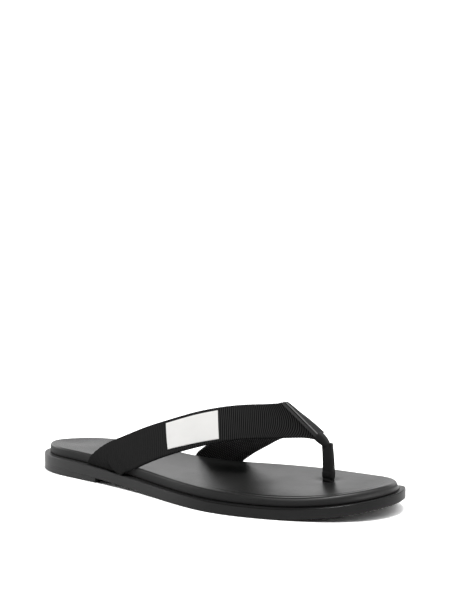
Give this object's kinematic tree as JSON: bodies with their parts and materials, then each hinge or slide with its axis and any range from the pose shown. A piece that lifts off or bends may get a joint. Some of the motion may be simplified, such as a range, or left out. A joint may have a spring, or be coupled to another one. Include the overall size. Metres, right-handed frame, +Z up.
{
  "type": "sandal",
  "caption": "Flat thong sandal for the right foot: two ribbed webbing straps meet in a leather-bound ridge at the toe post, over a padded leather footbed on a thin rubber sole.",
  "frame": {"origin": "on the floor under the middle of the sole's outline", "axes": "+X from the heel to the toe, +Y to the inner (medial) side of the right foot, +Z up"},
  "size_m": [0.29, 0.111, 0.0625],
  "materials": {
    "rubber": "matte",
    "footbed_leather": "smooth satin",
    "webbing": "ribbed matte",
    "binding_leather": "smooth satin",
    "label_cloth": "plain matte"
  },
  "bodies": {
    "root": {"outsole": "rubber", "heel_lift": "rubber", "footbed": "footbed_leather", "upper": "webbing", "ridge_binding": "binding_leather", "toe_post": "binding_leather", "side_label": "label_cloth"}
  },
  "joints": []
}
